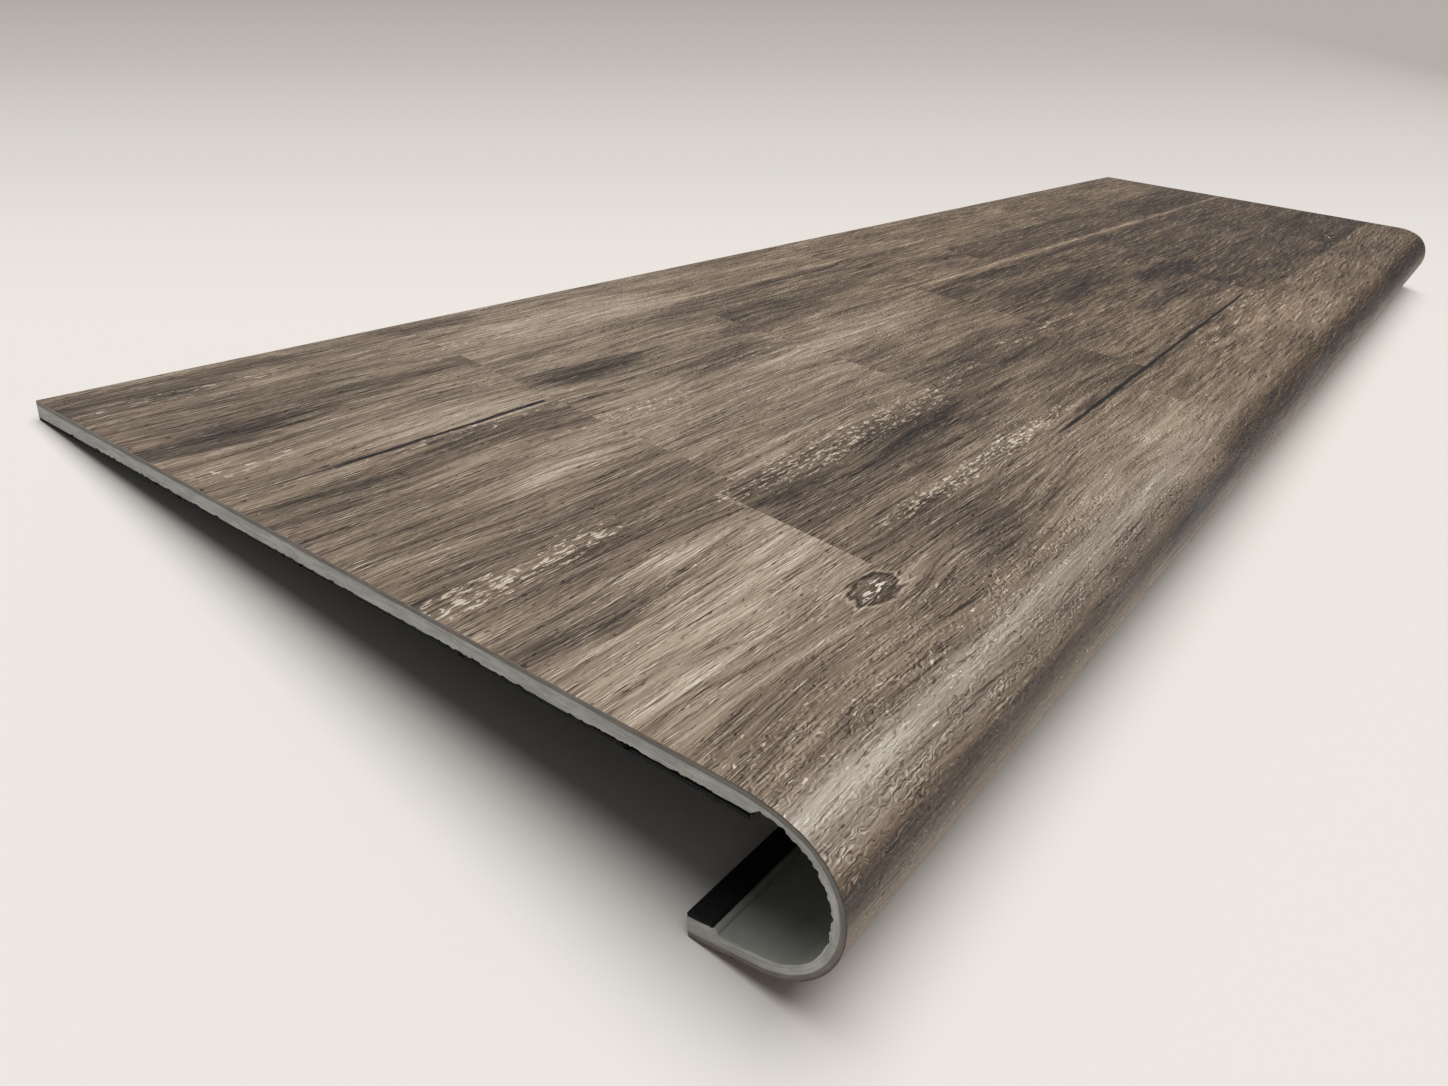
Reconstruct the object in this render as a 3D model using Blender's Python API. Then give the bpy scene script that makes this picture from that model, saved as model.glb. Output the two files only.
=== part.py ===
"""Laminated stair tread with a heat-bent rounded nose.

The tread is a flat laminated board: a printed wear film on a dark vinyl sheet, on a light grey
rigid core, with a thin black underlay beneath. Along the front edge the underlay and most of the
core are milled away, and what is left is warmed and bent round into the nose. A full-thickness lip
is left along the end of the return, with its own strip of underlay.

Metres, +Z up. X runs along the length, and the nose faces -Y. The tread lies as it would on a
level floor: on the back edge's lower corner and on the outer corner of the lip.
"""

import math

import bpy
import bmesh
from mathutils import Matrix, Vector

# the board
tread_length = 1.050
tread_depth = 0.300
wear_thickness = 0.0004
vinyl_thickness = 0.0011
core_thickness = 0.0040
underlay_thickness = 0.0010

# the nose, measured on the walking face: a gentle entry into the bend, then the round front
entry_radius = 0.043
entry_turn = math.radians(20)
front_radius = 0.0208
nose_turn = math.radians(171)
return_length = 0.018

# the pocket milled in the back of the nose, and the lip left at its end
core_left_in_bend = 0.0020
core_left_at_lip = 0.0027
pocket_past_bend_start = 0.0065
step_slope = math.radians(45)
thickening_starts = math.radians(135)
lip_width = 0.0080
lip_corner_radius = 0.0013

# how finely the round stretches are cut into flats
arc_step = math.radians(4)
corner_step = math.radians(22.5)

# depths of the layers under the walking face
vinyl_depth = wear_thickness
core_depth = vinyl_depth + vinyl_thickness
board_thickness = core_depth + core_thickness
underlay_depth = board_thickness + underlay_thickness

# where the bend starts, so that the front of the nose lies at the tread's full depth
front_start = entry_radius * math.sin(entry_turn)
front_centre_run = front_start - front_radius * math.sin(entry_turn)
bend_start = tread_depth - front_centre_run - front_radius

# where the pocket starts in the bend, and how far it runs while the core thickens to the lip
pocket_turn = pocket_past_bend_start / entry_radius
foot_run = return_length - lip_width
thickening_run = front_radius * (nose_turn - thickening_starts) + foot_run

COLLECTION = "stair_tread"


def fresh_scene():
    """An empty scene with a collection for the tread."""
    for item in list(bpy.data.objects):
        bpy.data.objects.remove(item, do_unlink=True)
    for item in list(bpy.data.collections):
        bpy.data.collections.remove(item)
    parts = bpy.data.collections.new(COLLECTION)
    bpy.context.scene.collection.children.link(parts)
    return parts


def material(name, colour, roughness):
    """A plain opaque finish."""
    finish = bpy.data.materials.new(name)
    finish.use_nodes = True
    shader = finish.node_tree.nodes["Principled BSDF"]
    shader.inputs["Base Color"].default_value = (*colour, 1.0)
    shader.inputs["Roughness"].default_value = roughness
    shader.inputs["Metallic"].default_value = 0.0
    finish.diffuse_color = (*colour, 1.0)
    return finish


def steps_for(turn, step):
    """How many flats make a round stretch of this turn."""
    return max(2, math.ceil(abs(turn) / step - 1e-6))


def bend_point(turn, depth):
    """A point in the bend, this deep under the walking face, where the sheet has turned so far.

    The first number runs from the back edge to the nose, and the second one up.
    """
    if turn <= entry_turn:
        radius = entry_radius
        centre = Vector((bend_start, -entry_radius))
    else:
        radius = front_radius
        drop = (entry_radius - front_radius) * math.cos(entry_turn) - entry_radius
        centre = Vector((bend_start + front_centre_run, drop))
    out = Vector((math.sin(turn), math.cos(turn)))
    return centre + out * (radius - depth)


def return_point(run, depth):
    """A point of the straight return, this far past the bend and this deep under its face."""
    along = Vector((math.cos(nose_turn), -math.sin(nose_turn)))
    return bend_point(nose_turn, depth) + along * run


def bend_turns(start, end):
    """The turns at which the bend is drawn, with the join of its two radii among them."""
    turns = [start]
    for low, high in ((0.0, entry_turn), (entry_turn, nose_turn)):
        count = steps_for(high - low, arc_step)
        for i in range(count + 1):
            turn = low + (high - low) * i / count
            if start < turn < end and turn > turns[-1] + 1e-9:
                turns.append(turn)
    turns.append(end)
    return turns


def line_at(depth):
    """The sheet's line at one depth, from the back edge round the nose to the return's end."""
    points = [Vector((0.0, -depth))]
    points += [bend_point(turn, depth) for turn in bend_turns(0.0, nose_turn)]
    points.append(return_point(return_length, depth))
    return points


def layer(top, bottom):
    """The closed outline of a layer that follows the whole sheet."""
    return line_at(top) + line_at(bottom)[::-1]


def pocket_depth(turn):
    """The milled face's depth under the walking face: the core thickens towards the lip."""
    travel = max(0.0, front_radius * (turn - thickening_starts))
    thickening = (core_left_at_lip - core_left_in_bend) * travel / thickening_run
    return core_depth + core_left_in_bend + thickening


def step_start():
    """Where the board's underside ends and the sloping step up into the pocket begins."""
    pocket_start = bend_point(pocket_turn, pocket_depth(pocket_turn))
    rise = pocket_start.y + board_thickness
    return Vector((pocket_start.x - rise / math.tan(step_slope), -board_thickness))


def lip_corner():
    """The lip's rounded inner corner, from its top down to its upright."""
    corner = []
    count = steps_for(math.pi / 2, corner_step)
    run = foot_run + lip_corner_radius
    depth = board_thickness - lip_corner_radius
    for i in range(count + 1):
        angle = math.pi / 2 * i / count
        corner.append(
            return_point(
                run - lip_corner_radius * math.sin(angle),
                depth + lip_corner_radius * math.cos(angle),
            )
        )
    return corner


def core_outline():
    """The rigid core: full thickness under the board and in the lip, milled thin between."""
    underside = [Vector((0.0, -board_thickness)), step_start()]
    pocket = [bend_point(turn, pocket_depth(turn)) for turn in bend_turns(pocket_turn, nose_turn)]
    foot = return_point(foot_run, core_depth + core_left_at_lip)
    lip_end = return_point(return_length, board_thickness)
    inner = underside + pocket + [foot] + lip_corner()[::-1] + [lip_end]
    return line_at(core_depth) + inner[::-1]


def underlay_sheet_outline():
    """The black sheet under the flat board, which ends where the milled step starts."""
    run = step_start().x
    return [
        Vector((0.0, -board_thickness)),
        Vector((run, -board_thickness)),
        Vector((run, -underlay_depth)),
        Vector((0.0, -underlay_depth)),
    ]


def underlay_strip_outline():
    """The strip of the same black sheet that is left on the lip."""
    inner = foot_run + lip_corner_radius
    return [
        return_point(inner, board_thickness),
        return_point(return_length, board_thickness),
        return_point(return_length, underlay_depth),
        return_point(inner, underlay_depth),
    ]


def stand():
    """The matrix that lays the tread down: it leans on its back edge and its lip."""
    back_foot = Vector((0.0, -underlay_depth))
    front_foot = return_point(return_length, 0.0)
    lean = math.atan2(back_foot.y - front_foot.y, front_foot.x - back_foot.x)
    ends = []
    for point in line_at(0.0) + underlay_sheet_outline():
        ends.append(point.x * math.cos(lean) - point.y * math.sin(lean))
    middle = (min(ends) + max(ends)) / 2
    floor = back_foot.x * math.sin(lean) + back_foot.y * math.cos(lean)
    return Matrix.Translation((0.0, middle, -floor)) @ Matrix.Rotation(-lean, 4, "X")


def piece(name, outline, finish, parts, frame):
    """A solid of one outline, run along the tread's whole length."""
    curve = bpy.data.curves.new(name, "CURVE")
    curve.dimensions = "2D"
    curve.fill_mode = "BOTH"
    curve.extrude = tread_length / 2
    spline = curve.splines.new("POLY")
    spline.points.add(len(outline) - 1)
    for place, point in zip(spline.points, outline):
        place.co = (-point.x, point.y, 0.0, 1.0)
    spline.use_cyclic_u = True
    drawn = bpy.data.objects.new(name, curve)
    parts.objects.link(drawn)
    bpy.context.view_layer.update()
    seen = drawn.evaluated_get(bpy.context.evaluated_depsgraph_get())
    mesh = bpy.data.meshes.new_from_object(seen)
    bpy.data.objects.remove(drawn, do_unlink=True)
    bpy.data.curves.remove(curve)
    shell = bmesh.new()
    shell.from_mesh(mesh)
    bmesh.ops.remove_doubles(shell, verts=shell.verts, dist=1e-7)
    bmesh.ops.recalc_face_normals(shell, faces=shell.faces)
    shell.to_mesh(mesh)
    shell.free()
    mesh.name = name
    mesh.materials.clear()
    mesh.materials.append(finish)
    mesh.shade_smooth()
    mesh.set_sharp_from_angle(angle=math.radians(30))
    solid = bpy.data.objects.new(name, mesh)
    solid.parent = frame
    solid.rotation_euler = (math.pi / 2, 0.0, math.pi / 2)
    parts.objects.link(solid)
    return solid


def main():
    parts = fresh_scene()
    frame = bpy.data.objects.new("tread_frame", None)
    frame.matrix_world = stand()
    parts.objects.link(frame)
    piece(
        "wear_layer",
        layer(0.0, vinyl_depth),
        material("printed wood film", (0.20, 0.16, 0.125), 0.62),
        parts,
        frame,
    )
    piece(
        "vinyl_layer",
        layer(vinyl_depth, core_depth),
        material("dark grey vinyl", (0.115, 0.115, 0.108), 0.65),
        parts,
        frame,
    )
    piece(
        "rigid_core",
        core_outline(),
        material("light grey core", (0.27, 0.27, 0.25), 0.75),
        parts,
        frame,
    )
    black = material("black underlay", (0.010, 0.010, 0.011), 0.85)
    piece("underlay_sheet", underlay_sheet_outline(), black, parts, frame)
    piece("underlay_strip", underlay_strip_outline(), black, parts, frame)
    bpy.context.view_layer.update()


main()
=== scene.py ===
# %% [markdown]
# A laminated stair tread, from its flat board to the finished nose.
#
# The real tread is a board of rigid vinyl flooring: a printed film on dark vinyl, on a light grey
# mineral core, on black foam. Its front edge is milled thin from behind, warmed and bent round. We
# work in the same order. Each layer is made flat, one Geometry Nodes tree then bends them all by
# the same rule, and every finish is painted on the flat board's own coordinates, so the print runs
# round the nose as it does on the real one.

# %% Load the fixed frame
import math

import bmesh
import bpy
import numpy as np
from mathutils import Matrix, Vector


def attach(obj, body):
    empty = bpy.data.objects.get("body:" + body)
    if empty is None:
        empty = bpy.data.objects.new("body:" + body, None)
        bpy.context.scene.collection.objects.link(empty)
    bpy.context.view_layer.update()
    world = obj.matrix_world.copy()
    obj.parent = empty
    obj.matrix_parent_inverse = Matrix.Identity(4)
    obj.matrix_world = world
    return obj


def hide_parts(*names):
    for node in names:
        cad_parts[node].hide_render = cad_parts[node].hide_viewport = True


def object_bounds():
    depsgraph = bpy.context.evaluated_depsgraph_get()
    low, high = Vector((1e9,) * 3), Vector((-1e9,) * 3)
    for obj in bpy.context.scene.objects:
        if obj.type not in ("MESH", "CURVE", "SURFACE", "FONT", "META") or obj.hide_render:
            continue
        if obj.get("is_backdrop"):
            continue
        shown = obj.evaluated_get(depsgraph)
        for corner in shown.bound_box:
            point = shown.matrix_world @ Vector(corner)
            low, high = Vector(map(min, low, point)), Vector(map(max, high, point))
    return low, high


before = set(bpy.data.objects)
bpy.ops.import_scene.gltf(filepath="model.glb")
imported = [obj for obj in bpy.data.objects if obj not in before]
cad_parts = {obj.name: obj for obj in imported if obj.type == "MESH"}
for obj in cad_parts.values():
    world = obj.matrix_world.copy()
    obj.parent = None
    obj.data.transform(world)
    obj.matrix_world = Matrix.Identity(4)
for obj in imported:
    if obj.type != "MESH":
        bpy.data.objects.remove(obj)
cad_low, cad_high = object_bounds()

print("nodes", sorted(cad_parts), "size", [round(v, 4) for v in cad_high - cad_low])

# %% [markdown]
# The sizes of the real board. The length is read from the frame. The rest are the values that the
# tread is made to, in metres: how thick each layer is, how tight the two radii of the bend are and
# how much of the core the milling leaves. Depths are counted down from the walking face.

# %% Sizes of the board and its nose
tread_length = cad_high.x - cad_low.x
tread_depth = 0.300
film_thickness = 0.0004
vinyl_thickness = 0.0011
core_thickness = 0.0040
foam_thickness = 0.0010
entry_radius = 0.043
entry_turn = math.radians(20)
front_radius = 0.0208
nose_turn = math.radians(171)
return_length = 0.018
core_left_in_bend = 0.0020
core_left_at_lip = 0.0027
thickening_starts = math.radians(135)
lip_width = 0.0080
lip_corner_radius = 0.0013
pocket_past_bend_start = 0.0065
step_slope = math.radians(45)

half_length = tread_length / 2
vinyl_depth = film_thickness
core_depth = vinyl_depth + vinyl_thickness
board_thickness = core_depth + core_thickness
foam_depth = board_thickness + foam_thickness
print("board and foam, in mm", [round(v * 1000, 2) for v in (board_thickness, foam_thickness)])

# %% [markdown]
# A place on the tread is easiest to name by its run: how far it is along the sheet from the back
# edge, round the nose, to the end of the return. The bend and the milling start and end at these.

# %% Distances along the sheet
front_centre = (entry_radius - front_radius) * math.sin(entry_turn)
bend_start = tread_depth - front_centre - front_radius
front_starts = bend_start + entry_radius * entry_turn
return_starts = front_starts + front_radius * (nose_turn - entry_turn)
board_run = return_starts + return_length
lip_starts = board_run - lip_width
thickening_run = front_starts + front_radius * (thickening_starts - entry_turn)
pocket_run = bend_start + pocket_past_bend_start
pocket_depth = core_depth + core_left_in_bend
step_run = pocket_run - (board_thickness - pocket_depth) / math.tan(step_slope)
print("step, bend and whole run", [round(v, 4) for v in (step_run, bend_start, board_run)])

# %% [markdown]
# The tread lies unheld on a level floor. It touches the floor along the back edge's lower corner
# and along the outer corner of the lip, so the whole section leans a little. Two points of the
# section and one arctangent give that lean.

# %% How the tread lies
section_samples = 4000


def section_point(run, depth):
    """The bent section: where a point of the flat board ends up, out to the nose and up."""
    first = min(max((run - bend_start) / entry_radius, 0.0), entry_turn)
    second = min(max((run - front_starts) / front_radius, 0.0), nose_turn - entry_turn)
    past = max(run - return_starts, 0.0)
    turn = first + second
    out = min(run, bend_start) + entry_radius * math.sin(first)
    out += front_radius * (math.sin(entry_turn + second) - math.sin(entry_turn))
    up = entry_radius * (math.cos(first) - 1)
    up += front_radius * (math.cos(entry_turn + second) - math.cos(entry_turn))
    out += past * math.cos(nose_turn) - depth * math.sin(turn)
    up -= past * math.sin(nose_turn) + depth * math.cos(turn)
    return Vector((out, up))


back_foot = section_point(0.0, foam_depth)
lip_foot = section_point(board_run, 0.0)
lean = math.atan2(back_foot.y - lip_foot.y, lip_foot.x - back_foot.x)


def leaned(point):
    """How far out towards the nose a point of the section is, once the tread leans."""
    return point.x * math.cos(lean) - point.y * math.sin(lean)


face_runs = [board_run * i / section_samples for i in range(section_samples + 1)]
nose_front = max(leaned(section_point(run, 0.0)) for run in face_runs)
middle = (nose_front + min(leaned(back_foot), 0.0)) / 2
floor_level = back_foot.x * math.sin(lean) + back_foot.y * math.cos(lean)
print("lean", round(math.degrees(lean), 2), "degrees, middle", round(middle, 5))

# %% [markdown]
# The camera stands low and close to the cut end of the tread, with a wide lens and a tilted head,
# so the board runs away to the upper right. Its place was worked out from the tread's own corners.

# %% Camera
camera_place = Vector((-0.66654, -0.18233, 0.19196))
camera_heading = math.radians(-60.742)
camera_pitch = math.radians(-31.307)
camera_roll = math.radians(14.268)
camera_lens = 26.932


def in_scene(name, data):
    """A new object in the scene, with its origin at the world's."""
    piece = bpy.data.objects.new(name, data)
    bpy.context.scene.collection.objects.link(piece)
    return piece


camera_data = bpy.data.cameras.new("camera")
camera_data.lens = camera_lens
camera_data.sensor_width = 36.0
camera_data.clip_start = 0.01
camera = in_scene("camera", camera_data)
turn = Matrix.Rotation(camera_heading, 4, "Z") @ Matrix.Rotation(math.pi / 2 + camera_pitch, 4, "X")
camera.matrix_world = Matrix.Translation(camera_place) @ turn @ Matrix.Rotation(camera_roll, 4, "Z")
bpy.context.scene.camera = camera
bpy.context.scene.view_settings.view_transform = "Standard"
print("camera at", [round(v, 3) for v in camera.location])

# %% [markdown]
# Node trees are easier to read when a sum looks like a sum. An Amount is what one node gives out,
# and adding or multiplying two of them adds a Math node to their tree. The helpers after it add one
# node each, and take plain numbers as well as Amounts.

# %% Helpers for node trees
class Amount:
    """A number, a vector or a geometry that a node gives out."""

    def __init__(self, socket):
        self.socket = socket
        self.tree = socket.id_data

    def __add__(self, other):
        return calc("ADD", self, other)

    def __sub__(self, other):
        return calc("SUBTRACT", self, other)

    def __mul__(self, other):
        return calc("MULTIPLY", self, other)

    def __truediv__(self, other):
        return calc("DIVIDE", self, other)

    def __neg__(self):
        return calc("MULTIPLY", self, -1.0)

    def __abs__(self):
        return calc("ABSOLUTE", self)

    __radd__, __rmul__ = __add__, __mul__


def feed(socket, value):
    """Sets a node's input to a plain value, or links an Amount to it."""
    if isinstance(value, Amount):
        value.tree.links.new(value.socket, socket)
    else:
        socket.default_value = value


def add(tree, kind, inputs=(), give=0, **settings):
    """One node with these settings and inputs, each by its name or number. Gives one output."""
    made = tree.nodes.new(kind)
    for name, value in settings.items():
        setattr(made, name, value)
    for name, value in dict(inputs).items():
        feed(made.inputs[name], value)
    return Amount(made.outputs[give])


def tree_of(values):
    return next(value.tree for value in values if isinstance(value, Amount))


def calc(operation, *values):
    """One Math node."""
    return add(tree_of(values), "ShaderNodeMath", enumerate(values), operation=operation)


def vector(operation, *values):
    """One Vector Math node. A plain Amount counts as a vector of three equal numbers."""
    give = "Value" if operation in ("LENGTH", "DISTANCE") else "Vector"
    inputs = enumerate(values)
    return add(tree_of(values), "ShaderNodeVectorMath", inputs, give, operation=operation)


def combine(*values):
    return add(tree_of(values), "ShaderNodeCombineXYZ", enumerate(values))


def split(value, kind="ShaderNodeSeparateXYZ"):
    """The three numbers of a vector or a colour."""
    made = value.tree.nodes.new(kind)
    feed(made.inputs[0], value)
    return [Amount(socket) for socket in made.outputs]


def clamp(value, low, high):
    return calc("MINIMUM", calc("MAXIMUM", value, low), high)


def plus(base, change, share):
    """The base and a share of a change, in a single node."""
    return calc("MULTIPLY_ADD", change, share, base)


print("node helpers ready, in Blender", bpy.app.version_string)

# %% [markdown]
# Every Geometry Nodes tree here has the same two ends. It takes a geometry, a finish and some named
# numbers, and it realizes its instances and sets the finish on the way out.

# %% Both ends of a Geometry Nodes tree
def start_tree(name, numbers):
    """A new tree, and what comes into it: a geometry, a finish and some named numbers."""
    tree = bpy.data.node_groups.new(name, "GeometryNodeTree")
    kinds = [("Geometry", "NodeSocketGeometry"), ("Finish", "NodeSocketMaterial")]
    kinds += [(label, "NodeSocketFloat") for label in numbers]
    for label, kind in kinds:
        tree.interface.new_socket(label, in_out="INPUT", socket_type=kind)
    tree.interface.new_socket("Geometry", in_out="OUTPUT", socket_type="NodeSocketGeometry")
    inside = tree.nodes.new("NodeGroupInput").outputs
    return tree, {label: Amount(inside[label]) for label, kind in kinds}


def end_tree(geometry, finish):
    tree = geometry.tree
    real = add(tree, "GeometryNodeRealizeInstances", {"Geometry": geometry})
    painted = add(tree, "GeometryNodeSetMaterial", {"Geometry": real, "Material": finish})
    feed(tree.nodes.new("NodeGroupOutput").inputs[0], painted)


# %% [markdown]
# The bend itself is a rule, so Geometry Nodes carry it out. A flat piece lies with its length along
# X, its depth from the back edge along -Y and its thickness down along -Z. The tree keeps that flat
# place as a named attribute for the finishes, winds the sheet round two radii and on into the
# return, and then leans the whole piece back onto its two feet. The sums are those of
# section_point.

# %% Geometry Nodes: bend the nose
bend_values = {
    "Bend start": bend_start,
    "Entry radius": entry_radius,
    "Entry turn": entry_turn,
    "Front radius": front_radius,
    "Nose turn": nose_turn,
    "Lean": lean,
    "Middle": middle,
    "Floor level": floor_level,
}


def sine(value):
    return calc("SINE", value)


def cosine(value):
    return calc("COSINE", value)


def bend_tree():
    tree, given = start_tree("bend_the_nose", bend_values)
    start, radius_1, turn_1, radius_2, whole_turn, lean_by, middle_by, floor_by = (
        given[name] for name in bend_values
    )
    x, y, z = split(add(tree, "GeometryNodeInputPosition"))
    run, depth = -y, -z
    flat = {"Geometry": given["Geometry"], "Name": "board_place", "Value": combine(x, run, depth)}
    kept = add(
        tree, "GeometryNodeStoreNamedAttribute", flat, data_type="FLOAT_VECTOR", domain="POINT"
    )

    into_bend = run - start
    past_entry = into_bend - radius_1 * turn_1
    front_turn = whole_turn - turn_1
    first = clamp(into_bend / radius_1, 0.0, turn_1)
    second = clamp(past_entry / radius_2, 0.0, front_turn)
    past = calc("MAXIMUM", past_entry - radius_2 * front_turn, 0.0)
    turned, reached = first + second, turn_1 + second

    out = calc("MINIMUM", run, start) + radius_1 * sine(first)
    out = out + radius_2 * (sine(reached) - sine(turn_1))
    out = out + past * cosine(whole_turn) - depth * sine(turned)
    up = radius_1 * (cosine(first) - 1.0) + radius_2 * (cosine(reached) - cosine(turn_1))
    up = up - past * sine(whole_turn) - depth * cosine(turned)

    bent = {"Geometry": kept, "Position": combine(x, -out, up)}
    laid = {
        "Geometry": add(tree, "GeometryNodeSetPosition", bent),
        "Rotation": combine(-lean_by),
        "Translation": combine(0.0, middle_by, -floor_by),
    }
    end_tree(add(tree, "GeometryNodeTransform", laid), given["Finish"])
    return tree


the_bend = bend_tree()
print("bend tree has", len(the_bend.nodes), "nodes")

# %% [markdown]
# A tree's inputs are set by identifier. The result is then copied into a plain mesh, because the
# export wants real faces and no live modifiers.

# %% Run a tree on a piece and keep the plain mesh
smooth_below = math.radians(28)


def grown(piece, tree, values):
    """Runs a tree on an object and gives the result as a plain mesh."""
    modifier = piece.modifiers.new(tree.name, "NODES")
    modifier.node_group = tree
    for item in tree.interface.items_tree:
        if item.in_out == "INPUT" and item.name in values:
            modifier[item.identifier] = values[item.name]
    bpy.context.view_layer.update()
    seen = piece.evaluated_get(bpy.context.evaluated_depsgraph_get())
    mesh = bpy.data.meshes.new_from_object(seen)
    piece.modifiers.remove(modifier)
    return mesh


def bend(piece, finish):
    piece.data = grown(piece, the_bend, {**bend_values, "Finish": finish})
    piece.data.name = piece.name
    piece.data.shade_smooth()
    piece.data.set_sharp_from_angle(angle=smooth_below)
    print(piece.name, len(piece.data.polygons), "faces")
    return piece


# %% [markdown]
# Every layer starts as a flat slab: a grid of points on its top and one on its underside, joined at
# the rim. The grid is fine across the board, where the bend and the ragged edges need points, and
# fine near the two saw cuts, and coarse in between, where the board only runs straight on.

# %% Where the slabs have their points
end_offsets = np.array([0.0, 0.00012, 0.0004, 0.0009, 0.0016, 0.0028, 0.0045, 0.008, 0.015])
plain_from_end = 0.03
plain_step = 0.04
board_step = 0.0008
bend_step = 0.0006


def spread(low, high, step):
    """Evenly spaced numbers from low to high, no further apart than a step."""
    return np.linspace(low, high, max(2, math.ceil((high - low) / step) + 1))


lengths = np.concatenate([
    end_offsets - half_length,
    spread(plain_from_end - half_length, half_length - plain_from_end, plain_step),
    (half_length - end_offsets)[::-1],
])
runs = np.concatenate([
    spread(0.0, bend_start, board_step)[:-1],
    spread(bend_start, board_run, bend_step),
])
print(len(lengths), "points along the tread,", len(runs), "across it")

# %% [markdown]
# A slab could be a box that is cut up, but then its points lie where the cuts fall. Here numpy lays
# the two grids and joins them with four walls, so each point sits where the board needs it. Points
# that fall on each other are merged at the end.

# %% A flat slab
merge_distance = 1e-7


def quads(*corners):
    return np.stack(corners, -1).reshape(-1, 4)


def slab(name, run_points, tops, bottoms):
    """A closed flat slab. Its top and underside are depths at each run, or one row per length."""
    count_x, count_r = len(lengths), len(run_points)
    xs = np.repeat(lengths[:, None], count_r, 1)
    ys = -np.repeat(run_points[None, :], count_x, 0)
    points = np.concatenate([
        np.stack([xs, ys, -np.broadcast_to(depths, xs.shape)], -1).reshape(-1, 3)
        for depths in (tops, bottoms)
    ])
    top = np.arange(count_x * count_r).reshape(count_x, count_r)
    low = top + count_x * count_r
    faces = [
        quads(top[:-1, :-1], top[:-1, 1:], top[1:, 1:], top[1:, :-1]),
        quads(low[:-1, :-1], low[1:, :-1], low[1:, 1:], low[:-1, 1:]),
    ]
    rims = ((top[0], low[0]), (low[-1], top[-1]), (low[:, 0], top[:, 0]), (top[:, -1], low[:, -1]))
    for rim, other in rims:
        faces.append(quads(rim[:-1], other[:-1], other[1:], rim[1:]))
    mesh = bpy.data.meshes.new(name)
    mesh.from_pydata(points.tolist(), [], np.concatenate(faces).tolist())
    shell = bmesh.new()
    shell.from_mesh(mesh)
    bmesh.ops.remove_doubles(shell, verts=shell.verts, dist=merge_distance)
    bmesh.ops.recalc_face_normals(shell, faces=shell.faces)
    shell.to_mesh(mesh)
    shell.free()
    return in_scene(name, mesh)


print("a slab has", 2 * len(lengths) * len(runs), "points")

# %% [markdown]
# Saw cuts are never clean. This helper gives a smooth random line across the board, which the next
# cells use for nicks in the film, for the torn foam and for the crumbled edge of the core.

# %% Random lines for ragged edges
def ragged(seed, across, pitch):
    """A smooth random number from -1 to 1 at each run, changing about once per pitch."""
    draw = np.random.default_rng(seed)
    places = np.arange(0.0, board_run + 2 * pitch, pitch)
    values = draw.uniform(-1.0, 1.0, len(places))
    blend = (across / pitch) % 1.0
    blend = blend * blend * (3 - 2 * blend)
    low = np.clip((across / pitch).astype(int), 0, len(places) - 2)
    return values[low] * (1 - blend) + values[low + 1] * blend


def near_ends(reach):
    """One at both saw cuts, fading to nothing within a reach."""
    from_end = half_length - np.abs(lengths)
    return np.exp(-((from_end / reach) ** 2))[:, None]


print("ragged line, first values", ragged(1, runs[:4], 0.002).round(2))

# %% [markdown]
# The finishes come next. The print is the hard one: staves of weathered oak, some pale and some
# nearly black, each with its own grain, with paint left in the low places and fine wrinkles pressed
# into the film. It is built up as a number, the tone, from broad to fine, and one colour ramp turns
# the tone into colour at the end. That keeps every layer of the pattern in one simple scale.

# %% Helpers for finishes
board_mm = tread_length * 1000


def new_finish(name, roughness, specular):
    """A new material and the inputs of its shader."""
    finish = bpy.data.materials.new(name)
    finish.use_nodes = True
    shader = finish.node_tree.nodes["Principled BSDF"].inputs
    shader["Roughness"].default_value = roughness
    shader["Specular IOR Level"].default_value = specular
    return finish, shader


def place_in(finish):
    """The place on the flat board, in millimetres from the left end and the back edge."""
    tree = finish.node_tree
    stored = add(tree, "ShaderNodeAttribute", give="Vector", attribute_name="board_place")
    return vector("MULTIPLY_ADD", stored, (1000.0,) * 3, (board_mm / 2, 0.0, 0.0))


def grain(place, along, across, detail=2.0, roughness=0.55, seed=0, deep=2.0, swirled=False):
    """Noise in patches about this long, wide and deep, from 0 to 1. Swirled, it is a direction."""
    moved = (seed * 13.7, seed * 7.3, 0.0 if swirled else seed * 1.1)
    scaled = vector("MULTIPLY_ADD", place, (1 / along, 1 / across, 1 / deep), moved)
    inputs = {"Vector": scaled, "Scale": 1.0, "Detail": detail, "Roughness": roughness}
    give = "Color" if swirled else 0
    return add(place.tree, "ShaderNodeTexNoise", inputs, give, noise_dimensions="3D")


def smooth(value, low, high, out_low=0.0, out_high=1.0):
    """A soft step: Map Range with its smooth setting."""
    ends = ("Value", "From Min", "From Max", "To Min", "To Max")
    inputs = zip(ends, (value, low, high, out_low, out_high))
    return add(value.tree, "ShaderNodeMapRange", inputs, "Result", interpolation_type="SMOOTHSTEP")


def band(value, centre, solid, rim, strength=1.0):
    """Full strength within a solid distance of a centre, and nothing from its rim on."""
    return smooth(abs(value - centre), solid, rim, strength, 0.0)


print("finishes are painted in mm, on a board of", round(board_mm))

# %% [markdown]
# Colours are written as a screen shows them, from 0 to 255, because that is how they are measured.
# Shaders work in linear numbers, so one helper turns the one kind into the other. The others make a
# colour out of a tone, lay one colour over another, and press a height into the surface.

# %% Helpers for colour and relief
colour_a, colour_b, mixed_colour = 6, 7, 2


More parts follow.
